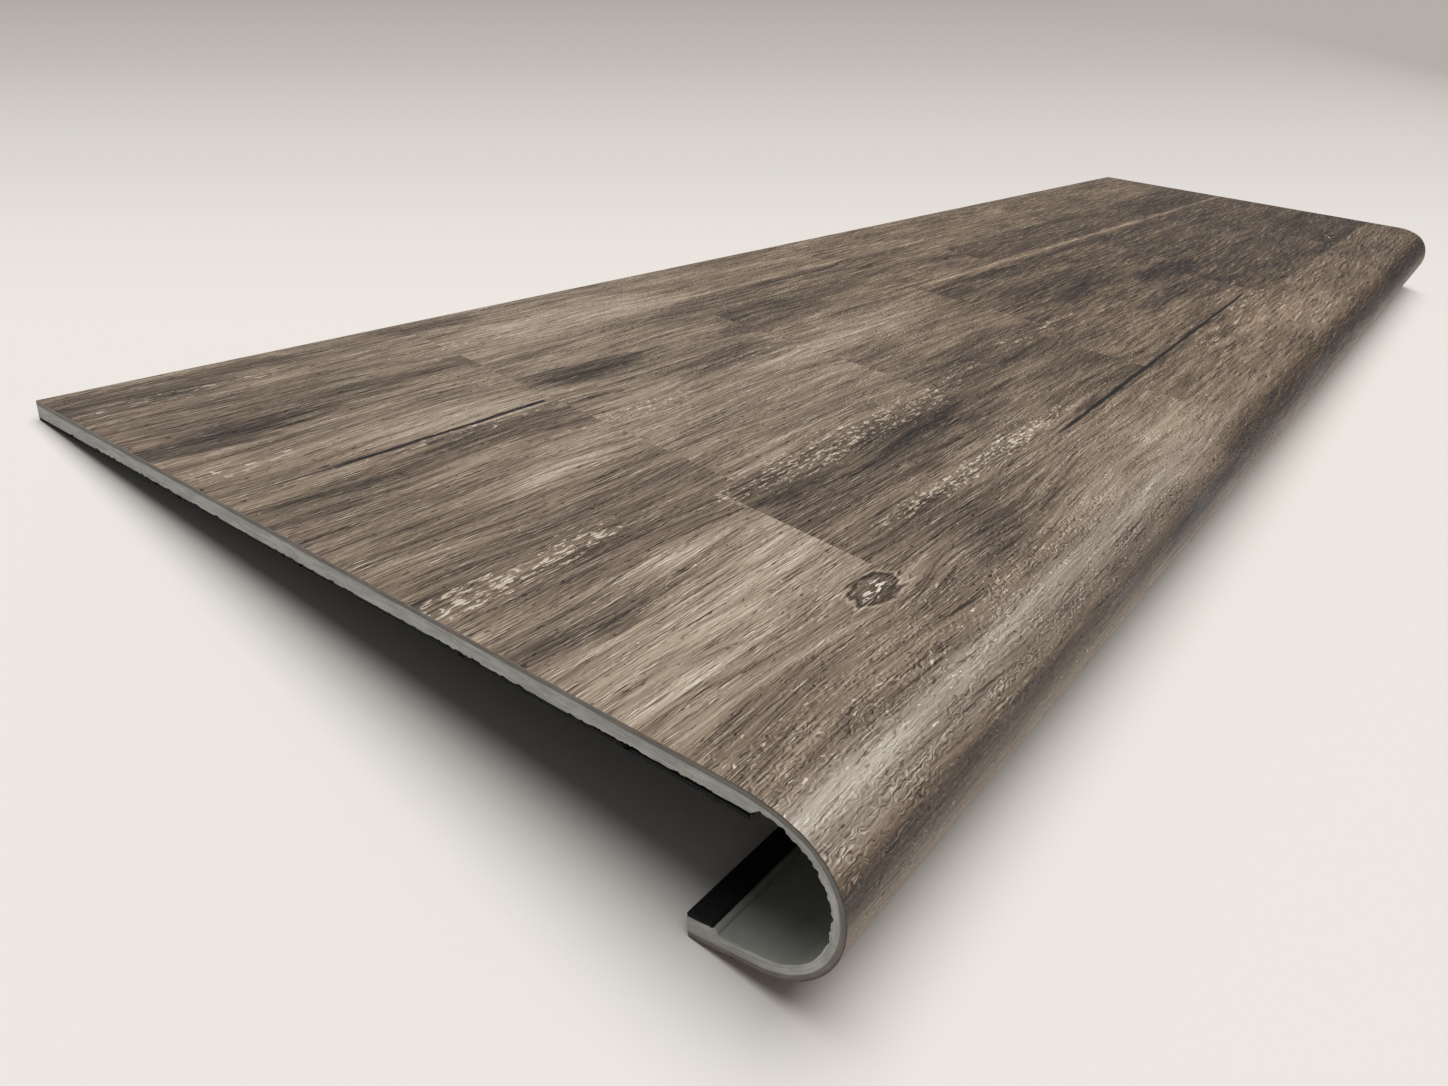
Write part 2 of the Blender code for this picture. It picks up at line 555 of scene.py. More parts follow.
def linear(colour):
    """A colour as screens write it, 0 to 255, in the linear numbers that shaders use."""
    shares = [value / 255 for value in colour]
    return tuple(v / 12.92 if v < 0.04045 else ((v + 0.055) / 1.055) ** 2.4 for v in shares)


def ramp(value, stops, interpolation="LINEAR"):
    """A colour ramp from a list of places and colours."""
    made = value.tree.nodes.new("ShaderNodeValToRGB")
    made.color_ramp.interpolation = interpolation
    elements = made.color_ramp.elements
    while len(elements) < len(stops):
        elements.new(1.0)
    for element, (at, colour) in zip(elements, stops):
        element.position = at
        element.color = (*colour, 1.0)
    feed(made.inputs[0], value)
    return Amount(made.outputs["Color"])


def mix_colour(share, first, second, blend="MIX"):
    """The first colour with a share of the second. A plain colour is three linear numbers."""
    inputs = {0: share}
    for number, value in ((colour_a, first), (colour_b, second)):
        inputs[number] = (*value, 1.0) if isinstance(value, tuple) else value
    settings = {"data_type": "RGBA", "blend_type": blend, "clamp_factor": True}
    return add(share.tree, "ShaderNodeMix", inputs, mixed_colour, **settings)


def bump(shader, height, distance):
    """Presses a height, from 0 to 1, into the surface."""
    inputs = {"Strength": 1.0, "Distance": distance, "Height": height}
    feed(shader["Normal"], add(height.tree, "ShaderNodeBump", inputs))


print("mid brown in linear numbers", [round(v, 3) for v in linear((125, 108, 91))])

# %% [markdown]
# The staves lie in rows along the board. A row is given by where it starts, by how much further it
# starts up to the jog, and by its staves: where they begin, how light they are and which part of
# the endless grain they are cut from. The butt joints are a little off square, as they are in a
# rustic print. Each row is one colour ramp with hard steps: red holds the tone and green the shift
# of the grain. Distances are in millimetres from the left end and from the back edge, and a tone of
# 0.42 is the board's middle brown.

# %% The layout of the staves
joint_skew = 0.115
jog_at = 104.0
stave_rows = [
    (0, 0, [(0, 0.43, 0.1), (137, 0.45, 0.5), (420, 0.41, 0.9), (720, 0.38, 0.3)]),
    (66, 0, [
        (0, 0.47, 0.1), (129, 0.44, 0.5), (263, 0.41, 0.4), (520, 0.31, 0.8), (830, 0.27, 0.1),
    ]),
    (101.5, 0, [
        (0, 0.43, 0.6), (125, 0.47, 0.0), (262, 0.41, 0.35), (402, 0.32, 0.3), (660, 0.29, 0.9),
    ]),
    (190, 11.5, [
        (0, 0.53, 0.9), (106, 0.34, 0.2), (372, 0.37, 0.6), (610, 0.28, 0.5), (870, 0.24, 0.0),
    ]),
    (246, 0, [(0, 0.42, 0.3), (330, 0.41, 0.8), (540, 0.40, 0.1), (800, 0.35, 0.6)]),
]


def stave_tone(x, run):
    """The tone and the grain shift of the stave at each place, as two numbers."""
    both = None
    for row_start, jog, staves in stave_rows:
        share = plus(x, run - row_start, joint_skew) / board_mm
        stops = [(start / board_mm, (tone, shift, 0.0)) for start, tone, shift in staves]
        row = ramp(share, stops, "CONSTANT")
        if both is None:
            both = row
        else:
            edge = smooth(x, jog_at - 0.5, jog_at, row_start + jog, row_start) if jog else row_start
            both = mix_colour(calc("GREATER_THAN", run, edge), both, row)
    return split(both, "ShaderNodeSeparateColor")[:2]


print(sum(len(staves) for _, _, staves in stave_rows), "staves in", len(stave_rows), "rows")

# %% [markdown]
# Weathered boards have clouds: dark where water stood, pale where paint or lime was left. Each
# cloud is a spot with a soft, frayed rim. All of them are longer along the grain by the same ratio,
# so the coordinates are squeezed once and each spot is then a plain distance: a place, a half
# length and how much it lightens or darkens. Only the big ones are listed. The small ones are
# noise.

# %% Clouds on the boards
cloud_ratio = 4.5
cloud_solid = 0.4
spot_rim = 1.2
clouds = [
    (10, 13, 60, -0.09), (22, 60, 46, -0.18), (30, 37, 60, -0.06), (12, 119, 50, -0.10),
    (70, 49, 26, -0.08), (10, 92, 40, -0.03), (95, 92, 50, 0.07), (150, 9, 30, -0.13),
    (215, 34, 84, 0.13), (145, 27, 44, 0.08), (330, 55, 130, -0.07), (160, 87, 40, -0.17),
    (92, 112, 44, -0.12), (222, 113, 50, -0.12), (285, 88, 62, -0.10), (295, 122, 88, 0.12),
    (330, 178, 80, -0.08), (95, 137, 60, 0.06), (60, 180, 90, -0.05), (16, 211, 44, -0.16),
    (84, 209, 30, 0.05), (112, 207, 26, -0.05), (48, 232, 80, 0.03), (50, 250, 50, 0.04),
    (128, 202, 30, -0.10), (205, 209, 54, -0.08), (215, 234, 74, 0.11), (250, 276, 90, 0.09),
    (320, 279, 90, 0.06), (612, 184, 62, -0.12), (540, 262, 70, 0.06), (585, 276, 80, 0.06),
    (500, 155, 90, -0.07), (560, 212, 90, -0.07), (470, 222, 60, 0.06), (480, 78, 60, -0.05),
    (235, 84, 30, 0.06), (700, 60, 110, -0.05), (900, 100, 120, -0.05), (158, 256, 50, -0.07),
]


def spots(frayed, places, ratio, solid, join):
    """Soft spots, all longer along the grain by a ratio, joined by a sum or by the strongest."""
    squeezed = vector("MULTIPLY", frayed, (1 / ratio, 1.0, 0.0))
    total = 0.0
    for along, across, half_length_mm, strength in places:
        away = vector("DISTANCE", squeezed, (along / ratio, across, 0.0))
        half = half_length_mm / ratio
        total = calc(join, total, smooth(away, half * solid, half * spot_rim, strength, 0.0))
    return total


print(len(clouds), "clouds")

# %% [markdown]
# Old paint stays in flecks, mostly along the edges of the staves. The zones are soft spots like the
# clouds, only flatter, and the flecks inside them are the tops of a fine noise.

# %% Zones of paint flecks
fleck_ratio = 11.0
fleck_solid = 0.5
fleck_zones = [
    (20, 183.5, 72, 1.0), (185, 194, 105, 0.9), (172, 236, 62, 1.0), (232, 236, 66, 1.0),
    (40, 20, 60, 0.5), (8, 84, 40, 0.6), (139, 34, 44, 0.5), (85, 104.5, 40, 0.7),
    (140, 128, 50, 0.6), (230, 113, 60, 0.5), (262, 187, 70, 0.7), (388, 183, 66, 0.9),
    (480, 250, 100, 0.6), (562, 243, 70, 0.9), (640, 160, 70, 0.6), (60, 276, 160, 0.35),
]
print(len(fleck_zones), "zones of flecks")

# %% [markdown]
# Some marks run along the board as lines: the dark cracks between staves, and pale and dark growth
# bands. Along the nose, pale and dark bands are partly print and partly painted light: a painted
# sheen on the crown near the cut end, and painted shade on the front of the nose and along the
# crown further on. A line has two ends, a half width, a change of tone and how long it takes to
# fade out. It is the distance from a gently sloping straight, narrowed by a soft step.

# %% Lines along the board
line_fades_in = 30
lines = [
    (25, 101.3, 124, 100.3, 1.3, -0.65, 2),
    (60, 103.2, 124, 102.2, 0.9, 0.16, 2),
    (235, 245.5, 592, 236.4, 1.3, -0.65, 20),
    (124, 103.2, 380, 104.5, 0.9, -0.14, 30),
    (0, 192.0, 300, 189.5, 0.8, -0.06, 30),
    (300, 64.0, 620, 60.0, 0.8, -0.12, 30),
    (590, 165.0, 840, 158.0, 0.9, -0.12, 30),
    (260, 43.0, 590, 44.0, 3.0, 0.10, 60),
    (320, 48.5, 620, 49.0, 3.2, -0.09, 60),
    (400, 103.5, 1080, 113.0, 4.6, 0.20, 30),
    (400, 112.5, 740, 117.5, 5.0, -0.10, 80),
    # From here on, the lines along the nose. The pale ones on the crown near the cut end are partly
    # print and partly a painted sheen. The dark ones on the front and further along the crown are
    # partly print and partly painted shade.
    (-30, 286.5, 330, 288.0, 6.5, 0.17, 200),
    (-30, 288.0, 110, 288.5, 7.0, 0.07, 90),
    (-30, 304.0, 1080, 303.0, 7.5, -0.17, 30),
    (290, 295.5, 1080, 296.5, 9.0, -0.18, 60),
    (200, 307.0, 1080, 307.0, 13.0, -0.11, 200),
    (-30, 295.5, 170, 296.0, 6.0, 0.12, 130),
]


def lines_and_nose_light_tone(x, run):
    """The lines, as a change of tone, with the painted sheen and shade along the nose."""
    total = 0.0
    for x_1, run_1, x_2, run_2, half_width, change, fade in lines:
        slope = (run_2 - run_1) / (x_2 - x_1)
        line = band(plus(run, x, -slope), run_1 - slope * x_1, 0.0, half_width, change)
        line = line * smooth(x, x_1, x_1 + line_fades_in)
        total = plus(total, line, smooth(x, x_2 - fade, x_2, 1.0, 0.0))
    return total


print(len(lines), "lines")

# %% [markdown]
# There are two knots, and one of them shows well, near the cut end. Each has a dark heart in a dark
# rim with a pale halo, and paint chips in the middle. The grain parts to pass it: it is pushed
# aside by bending the coordinates before any noise of the wood reads them.

# %% Knots
knots = [(89, 253.3, 10.3, 5.5), (905, 236, 12, 7)]
knot_push = 0.7
knot_heart = (0.8, 1.1, -0.08)
knot_rim = (1.0, 0.18, -0.20)
knot_halo = (1.22, 0.16, 0.14)
knot_chips = (0.5, 1.0)


def part_grain(x, run):
    """How far the grain is pushed across the board beside each knot."""
    push = 0.0
    for along, across, half_along, half_across in knots:
        near = band(x, along, 0.0, half_along * 3) * band(run, across, 0.0, half_across * 4)
        side = clamp((run - across) / half_across, -1.0, 1.0)
        push = plus(push, near, side * (-half_across * knot_push))
    return push


def knot_tone(frayed):
    """The change of tone at each knot, and where paint chips sit on it."""
    change, chipped = 0.0, 0.0
    for along, across, half_along, half_across in knots:
        from_middle = vector("SUBTRACT", frayed, (along, across, 0.0))
        scaled = vector("MULTIPLY", from_middle, (1 / half_along, 1 / half_across, 0.0))
        away = vector("LENGTH", scaled)
        change = change + smooth(away, *knot_heart, 0.0)
        for at, half_width, tone in (knot_rim, knot_halo):
            change = change + band(away, at, 0.0, half_width, tone)
        chipped = chipped + smooth(away, *knot_chips, 1.0, 0.0)
    return change, chipped


print(len(knots), "knots")

# %% [markdown]
# The wood's own grain is three noises, all drawn out along the board: a broad figure, streaks and
# fine fibres. They read the same coordinates, which sway slowly, part at the knots and jump by the
# stave's own shift, so that no stave repeats its neighbour. Away from the near end the coordinates
# are also curled a little, and the fibres get fainter, as an eye sees them at a distance.

# %% Wood grain
figure_gain, streak_gain, fibre_gain, grain_middle = 0.36, 0.40, 0.50, -0.38
dark_fibres = (0.38, 0.30, 0.0, -0.10)
figure = {"along": 90, "across": 12, "detail": 2.5, "roughness": 0.6, "seed": 1}
streaks = {"along": 48, "across": 2.8, "roughness": 0.6, "seed": 2}
fibres = {"along": 22, "across": 0.55, "detail": 1.5, "seed": 4}
sways = {"along": 70, "across": 26, "detail": 0.0, "seed": 3}
stave_shift = (7000.0, 3000.0, 0.0)
sway_mm = 9.0
far_curl = (5.0, 2.6, 0.0)
near_curl = (0.0, 0.4, 0.0)
calm_on_nose = (262.0, 288.0, 1.0, 0.55)


def wood_grain(place, shift, curls, far):
    """The broad figure, the streaks and the fibres, each from 0 to 1."""
    x, run, _ = split(place)
    sway = grain(place, **sways) - 0.5
    wood = combine(x, run + part_grain(x, run))
    wood = vector("MULTIPLY_ADD", sway, (0.0, sway_mm, 0.0), wood)
    wood = vector("MULTIPLY_ADD", shift, stave_shift, wood)
    looseness = vector("MULTIPLY_ADD", far, far_curl, near_curl)
    wood = vector("MULTIPLY_ADD", curls, looseness, wood)
    return grain(wood, **figure), grain(wood, **streaks), grain(wood, **fibres)


def add_grain(tone, run, sharp, broad, streak, thread):
    """Adds the three noises to the tone, more calmly round the nose."""
    change = plus(plus(grain_middle, broad, figure_gain), streak, streak_gain)
    change = plus(change, (thread - 0.5) * fibre_gain, sharp)
    tone = plus(tone, change, smooth(run, *calm_on_nose))
    return plus(tone, smooth(thread, *dark_fibres), sharp)


print("grain this long, in mm", [noise["along"] for noise in (figure, streaks, fibres)])

# %% [markdown]
# Wrinkles are pressed into the film. A wrinkle shows because one of its sides is lit and the other
# isn't, and that light is painted into the print: each relief is one noise that is read twice, a
# hair apart, and the difference lightens the print as a painted highlight on one side and darkens
# it as painted shade on the other. The grooves of the creases get painted shade too. Creases run
# with the grain, worms curl tightly and cover the nose, and broad strokes take over towards the far
# end. Creases and worms are also a little height for the light itself.

# %% Pressed-in relief
worms = {
    "along": 1.7, "across": 0.66, "detail": 0.0, "seed": 8,
    "apart": (0.18, 0.17, 0.0), "faint": 0.12,
}
creases = {
    "along": 8.0, "across": 0.55, "detail": 1.4, "seed": 15,
    "apart": (0.6, 0.24, 0.0), "faint": 0.16,
}
strokes = {
    "along": 20.0, "across": 2.2, "detail": 1.0, "seed": 21,
    "apart": (1.2, 0.55, 0.0), "faint": 0.08,
}
worm_strength, stroke_strength = 0.75, 0.9
groove_shade_tone = -0.18
worm_curl = (3.2, 2.4, 0.0)
worm_fan = (0.0, -0.10, 0.0)
fan_from = 250.0
nose_from = 240.0
crown_run = 287.0
drift_mm = 1.6
relief_height = 0.00025


def ridges(place, apart, faint, **noise):
    """Fine ridges, and the light on them: above 0 on their backs, below on their fronts."""
    here = grain(place, **noise)
    slope = grain(vector("ADD", place, apart), **noise) - here
    return here, slope * smooth(abs(slope), faint * 0.3, faint)


def add_relief(tone, place, fray, curls, far, sharp):
    """Adds the relief's painted highlights and shade to the tone. Gives its height too, and the
    noise of the broad strokes.
    """
    x, run, _ = split(place)
    fanned = vector("MULTIPLY_ADD", calc("MAXIMUM", run - fan_from, 0.0), worm_fan, place)
    worm, worm_lit = ridges(vector("MULTIPLY_ADD", curls, worm_curl, fanned), **worms)
    drifted = combine(x, plus(run, fray, drift_mm))
    crease, crease_lit = ridges(drifted, **creases)
    stroke, stroke_lit = ridges(drifted, **strokes)

    rough = smooth(fray, -0.15, 0.15, 0.4, 1.3)
    on_nose, far_off = smooth(run, nose_from, 285.0), smooth(x, 60.0, 330.0, 0.25, 0.8)
    wormy = calc("MAXIMUM", on_nose, far_off) * rough
    wormy = wormy * smooth(abs(run - crown_run), 2.0, 9.0, 0.6, 1.0)
    creased = rough * smooth(run, nose_from, 300.0, 1.0, 0.5) * sharp
    # The worms, strokes and creases lighten the print as a painted highlight on one side of each
    # ridge and darken it as painted shade on the other.
    tone = plus(tone, worm_lit, wormy * worm_strength)
    tone = plus(tone, stroke_lit, far * rough * stroke_strength)
    tone = plus(tone, crease_lit, creased)
    # Painted shade in the grooves of the creases.
    tone = plus(tone, smooth(crease, 0.30, 0.23), sharp * groove_shade_tone)
    return tone, plus(crease, worm, wormy), stroke


print("relief this wide, in mm", [noise["across"] for noise in (worms, creases, strokes)])

# %% [markdown]
# One more noise gives two things at once: its troughs are dark pores, and its peaks are flecks of
# old paint. The peaks reach the level of the paint only inside the zones and on the knots.

# %% Paint flecks and pores
fleck_noise = {"along": 4.2, "across": 1.15, "roughness": 0.6, "seed": 12}
fleck_curl = (1.4, 1.3, 0.0)
paint_level = 0.73
paint_level_drop = -0.19
paint_tone, paint_tone_on_knot = 0.32, 0.25
pore_tone = -0.20
stroke_share = 0.8


def add_flecks(tone, place, curls, far, stroke, zone, chipped):
    """Adds the pores and the paint to the tone. Far off, the flecks follow the broad strokes."""
    flecks = grain(vector("MULTIPLY_ADD", curls, fleck_curl, place), **fleck_noise)
    flecks = plus(flecks, stroke - flecks, far * stroke_share)
    level = plus(paint_level, calc("MAXIMUM", zone, chipped), paint_level_drop)
    tone = plus(tone, smooth(flecks, 0.35, 0.31), pore_tone)
    paint = smooth(flecks - level, 0.0, 0.03)
    return plus(tone, paint, plus(paint_tone, chipped, paint_tone_on_knot))


print("paint above", paint_level, "and in its zones above", paint_level + paint_level_drop)

# %% [markdown]
# The tone becomes a colour. The print is a warm brown that turns grey in the dark clouds, and a
# little warmer towards the far end and down the front. On the crown of the nose it turns grey too,
# partly in the print and partly as a painted sheen. At the saw cuts the film shows its plain body,
# which is darker round the nose.

# %% Colours of the print
print_colours = [
    (0.06, (23, 18, 15)),
    (0.20, (62, 51, 43)),
    (0.31, (93, 79, 67)),
    (0.42, (125, 108, 91)),
    (0.55, (160, 142, 123)),
    (0.70, (196, 181, 161)),
    (0.90, (234, 226, 212)),
]
cool_tint = (0.94, 1.00, 1.10)
warm_tint = (1.16, 1.00, 0.78)
film_body, film_body_on_nose = (146, 134, 122), (84, 77, 70)


def print_colour(tone, place, broad, clouded, far):
    """The film's colour at each place, with its plain body at the cuts."""
    _, run, depth = split(place)
    colour = ramp(tone, [(at, linear(value)) for at, value in print_colours])
    in_clouds = smooth(plus(clouded, broad, 0.5), 0.24, 0.10, 0.0, 0.3)
    # Greyer on the crown of the nose: partly print, partly a painted sheen.
    crown_grey_and_sheen = band(run, 289.0, 4.0, 12.0, 0.75) * plus(1.0, far, -0.7)
    colour = mix_colour(calc("MAXIMUM", in_clouds, crown_grey_and_sheen), colour, cool_tint, "MULTIPLY")
    warm = far * smooth(run, 285.0, 301.0, 0.3, 1.0) + smooth(run, 295.0, 303.0, 0.0, 0.2)
    colour = mix_colour(warm, colour, warm_tint, "MULTIPLY")
    body = mix_colour(smooth(run, 225.0, 295.0), linear(film_body), linear(film_body_on_nose))
    return mix_colour(smooth(depth, 0.02, 0.08), colour, body)


print(len(print_colours), "colours in the print")

# %% [markdown]
# Now the film itself. The order is: fray the coordinates a little, so that nothing has a straight
# rim; take the stave's tone; add clouds, grain, the knot and the lines, with the painted sheen and
# shade along the nose; then the relief with its painted highlights and shade, the pores and the
# paint; and turn the tone into colour.

# %% Finish: printed film
fray_noise = {"along": 14, "across": 3.2, "seed": 5}
curl_noise = {"along": 2.6, "across": 1.7, "detail": 0.0, "seed": 9, "swirled": True}
far_from, far_to = 160.0, 520.0
far_blur = -0.65
cloud_fray = (60.0, 13.0, 0.0)
knot_fray = (15.0, 6.5, 0.0)
edge_fray = 1.2


def printed_film():
    finish, shader = new_finish("printed weathered oak film", 0.44, 0.4)
    place = place_in(finish)
    x, run, _ = split(place)
    far = smooth(x, far_from, far_to)
    sharp = plus(1.0, far, far_blur)
    fray = grain(place, **fray_noise) - 0.5
    curls = vector("SUBTRACT", grain(place, **curl_noise), (0.5, 0.5, 0.5))
    frayed = vector("MULTIPLY_ADD", fray, cloud_fray, place)
    edge_run = plus(run, fray, edge_fray)

    tone, shift = stave_tone(x, edge_run)
    broad, streak, thread = wood_grain(place, shift, curls, far)
    clouded = spots(frayed, clouds, cloud_ratio, cloud_solid, "ADD")
    zone = spots(frayed, fleck_zones, fleck_ratio, fleck_solid, "MAXIMUM")
    knot, chipped = knot_tone(vector("MULTIPLY_ADD", fray, knot_fray, place))
    tone = add_grain(tone + clouded, run, sharp, broad, streak, thread)
    tone = tone + knot + lines_and_nose_light_tone(x, edge_run)
    tone, height, stroke = add_relief(tone, place, fray, curls, far, sharp)
    tone = add_flecks(tone, place, curls, far, stroke, zone, chipped)

    feed(shader["Base Color"], print_colour(tone, place, broad, clouded, far))
    feed(shader["Roughness"], smooth(streak, 0.35, 0.65, 0.38, 0.50))
    bump(shader, height, relief_height)
    return finish


film_finish = printed_film()
print("printed film has", len(film_finish.node_tree.nodes), "nodes")

# %% [markdown]
# The saw leaves its own marks on a cut layer: fine lines that follow the sheet, pale blotches, and
# small pores where the filler broke out. The vinyl and the core are the same recipe in two greys,
# and both read the flat coordinates, so the lines follow the bend on the cut end. The faces that
# the cutter milled, behind the nose, are a little darker and greener than the sawn ones: partly the
# duller colour of a smoother milled face, and partly painted shade in the pocket.

# %% Finish: sawn layers
core_grey = (158, 157, 153)
core_pale = (190, 189, 184)
# The milled colour is partly the core's own duller colour and partly painted shade in the pocket
# behind the nose.
core_milled_and_shaded = (142, 144, 135)
vinyl_grey = (108, 104, 98)
vinyl_pale = (130, 126, 119)
pore_grey = (58, 58, 56)
milled_and_shade_share = 0.85


def sawn_layer(name, colour, pale, pores, roughness, milled_and_shaded_colour=None):
    finish, shader = new_finish(name, roughness, 0.3)
    place = place_in(finish)
    sawn = grain(place, 4.0, 14.0, 2.0, 0.6, seed=21, deep=0.20)
    blotch = grain(place, 6.0, 7.0, 3.0, 0.6, seed=22, deep=1.6)
    speck = grain(place, 0.6, 0.6, 1.0, 0.5, seed=23, deep=0.5)
    share = smooth(plus(blotch * 0.5, sawn, 0.5), 0.40, 0.60)
    body = mix_colour(share, linear(colour), linear(pale))
    pore = smooth(speck, 0.70, 0.76, 0.0, pores)
    body = mix_colour(pore, body, linear(pore_grey))
    # Away from the saw cuts the core takes the milled colour, which is partly its own duller colour
    # and partly painted shade in the pocket.
    if milled_and_shaded_colour:
        middle_mm = board_mm / 2
        off_cuts = band(split(place)[0], middle_mm, middle_mm - 0.6, middle_mm - 0.1, milled_and_shade_share)
        body = mix_colour(off_cuts, body, linear(milled_and_shaded_colour))
    feed(shader["Base Color"], body)
    bump(shader, plus(pore * -0.6, sawn, 0.6), 0.00010)
    return finish


core_finish = sawn_layer("light core", core_grey, core_pale, 0.8, 0.62, core_milled_and_shaded)
vinyl_finish = sawn_layer("dark vinyl", vinyl_grey, vinyl_pale, 0.3, 0.50)
print("sawn layers have", len(core_finish.node_tree.nodes), "nodes")

# %% [markdown]
# The underlay is a closed-cell foam. It is nearly black and dull, with a fine grit of cut cells
# that catches a little light.

# %% Finish: black foam
foam_black, foam_grit = (15, 15, 16), (40, 40, 42)
cells_per_mm = 1.9


def black_foam():
    finish, shader = new_finish("black foam underlay", 0.80, 0.25)
    place = place_in(finish)
    inputs = {"Vector": place, "Scale": cells_per_mm}
    cells = add(place.tree, "ShaderNodeTexVoronoi", inputs, "Distance", feature="F1")
    grit = grain(place, 0.6, 0.6, 2.0, 0.7, seed=31, deep=0.6)
    body = mix_colour(smooth(grit, 0.45, 0.75), linear(foam_black), linear(foam_grit))
    feed(shader["Base Color"], body)
    bump(shader, plus(cells, grit, 0.8), 0.00015)
    return finish


foam_finish = black_foam()
print("foam has", len(foam_finish.node_tree.nodes), "nodes")

# %% [markdown]
# The film: a slab as wide as the whole board's run, 0.4 mm thick. At the saw cuts its edge is
# nicked, so the end points move inwards by a random amount, most by a hair and a few by almost half
# a millimetre.

# %% Piece: printed film
end_tolerance = 0.00001
nick_pitch, chip_pitch = 0.0012, 0.0024
chip_level, chip_gain = 0.86, 7


def nick_ends(piece, seed, fine, deep):
    """Moves the end points inwards, so that the cut edge isn't a ruled line."""
    points = np.empty(len(piece.data.vertices) * 3, np.float32)
    piece.data.vertices.foreach_get("co", points)
    points = points.reshape(-1, 3)
    run = -points[:, 1].astype(float)
    for side, extra in ((-1, 0), (1, 50)):
        at_end = np.abs(points[:, 0] - side * half_length) < end_tolerance
        rough = fine * np.abs(ragged(seed + extra, run, nick_pitch))
        chips = np.clip(ragged(seed + extra + 1, run, chip_pitch) - chip_level, 0.0, 1.0)
        points[at_end, 0] -= side * (rough + chips * deep * chip_gain)[at_end]
    piece.data.vertices.foreach_set("co", points.ravel())
    return piece


film = slab("printed_film", runs, 0.0, film_thickness)
nick_ends(film, 11, fine=0.00008, deep=0.0004)
bend(film, film_finish)

# %% [markdown]
# The vinyl lies under the film and follows it all the way. It needs nothing but the same slab.

# %% Piece: dark vinyl
vinyl = slab("dark_vinyl", runs, vinyl_depth, core_depth)
bend(vinyl, vinyl_finish)

# %% [markdown]
# The core carries the craft. Its underside is a depth that changes along the run: full thickness
# under the board, a sloped step, the milled pocket, a slow thickening, and the lip with its rounded
# inner corner.

# %% The back of the core
core_step, pocket_step, foot_step = 0.0007, 0.0005, 0.0008
corner_degrees = 15


def core_underside():
    """Runs and depths of the core's back, with two points at each upright step."""
    pocket = spread(pocket_run, lip_starts, pocket_step)
    growing = np.clip((pocket - thickening_run) / (lip_starts - thickening_run), 0.0, 1.0)
    wall = pocket_depth + (core_left_at_lip - core_left_in_bend) * growing
    corner = np.radians(np.arange(0, 91, corner_degrees))
    corner_run = lip_starts + lip_corner_radius * (1 - np.cos(corner))
    corner_depth = board_thickness - lip_corner_radius * (1 - np.sin(corner))
    flat = spread(0.0, step_run, core_step)
    foot = spread(corner_run[-1], board_run, foot_step)[1:]
    under_flat, under_foot = (np.full(len(part), board_thickness) for part in (flat, foot))
    depths = np.concatenate([under_flat, wall, corner_depth, under_foot])
    return np.concatenate([flat, pocket, corner_run, foot]), depths


core_runs, core_back = core_underside()
print(len(core_runs), "points round the core's back")

# %% [markdown]
# The cutter leaves shallow ridges along the pocket. At the saw cuts the thin wall crumbles, and on
# both sides of the step a longer piece of the lower edge has broken away. So two random lines and a
# drawn one change the depth there, and fade out a few millimetres from each cut.

# %% Piece: grey core
milling_height, milling_pitch = 0.00010, 0.0017
surely_thinner = 0.0005
crumbling = ((43, 0.00035, 0.0014), (44, 0.00020, 0.0006))
crumbles_until = 0.316
crumble_reach = 0.0016
most_proud = 0.00005
kept_at_back, kept_at_step = 0.02, 0.001
broken_at = (0.150, 0.172, 0.230, 0.240, 0.265, 0.274, 0.2785, 0.286, 0.297, 0.312)
broken_off_mm = (0.0, 0.2, 0.2, 0.55, 0.65, 0.9, 0.95, 0.7, 0.3, 0.0)

thin = core_back < board_thickness - surely_thinner
in_pocket = thin & (core_runs > pocket_run) & (core_runs < thickening_run)
under_board = (core_runs > kept_at_back) & (core_runs < step_run - kept_at_step)
milling = np.where(in_pocket, milling_height * ragged(41, core_runs, milling_pitch), 0.0)
jagged = sum(size * ragged(seed, core_runs, pitch) for seed, size, pitch in crumbling)
crumbs = np.where(in_pocket & (core_runs < crumbles_until), jagged, 0.0)
crumbs += np.where(under_board, np.minimum(jagged, most_proud), 0.0)
crumbs -= np.interp(core_runs, broken_at, broken_off_mm) / 1000
rough_back = core_back + milling + near_ends(crumble_reach) * crumbs
core = slab("grey_core", core_runs, core_depth, rough_back)
bend(core, core_finish)

# %% [markdown]
# The foam is glued under the board up to the step, and a strip of it is left on the lip. Saws tear
# foam: at both ends the sheet is pulled back here and there by up to a millimetre, and it is
# thinned a little at the very cut.

# %% Pieces: foam underlay
foam_step = 0.0006
thinning, thinning_reach, thinning_pitch = 0.00018, 0.0012, 0.002
foam_tear = 0.0007
strip_starts = lip_starts + lip_corner_radius


def foam_sheet(name, low, high, seed, fray):
    """A sheet of foam between two runs, thinned and torn at the cuts."""
    run_points = spread(low, high, foam_step)
    thinned = near_ends(thinning_reach) * thinning * ragged(seed, run_points, thinning_pitch)
    piece = slab(name, run_points, board_thickness, foam_depth - np.abs(thinned))
    return nick_ends(piece, seed + 1, fray, foam_tear)


underlay = bend(foam_sheet("foam_underlay", 0.0, step_run, 51, 0.00025), foam_finish)
strip = bend(foam_sheet("lip_foam", strip_starts, board_run, 61, 0.00010), foam_finish)

# %% [markdown]
# A saw also throws up a burr: a line of crumbs and curled flakes along the core's lower edge. They
# repeat along a path, so a second tree makes them: points along the edge, one small flake on each,
# turned and sized at random. The flakes are scattered while the board is flat and then bent along.

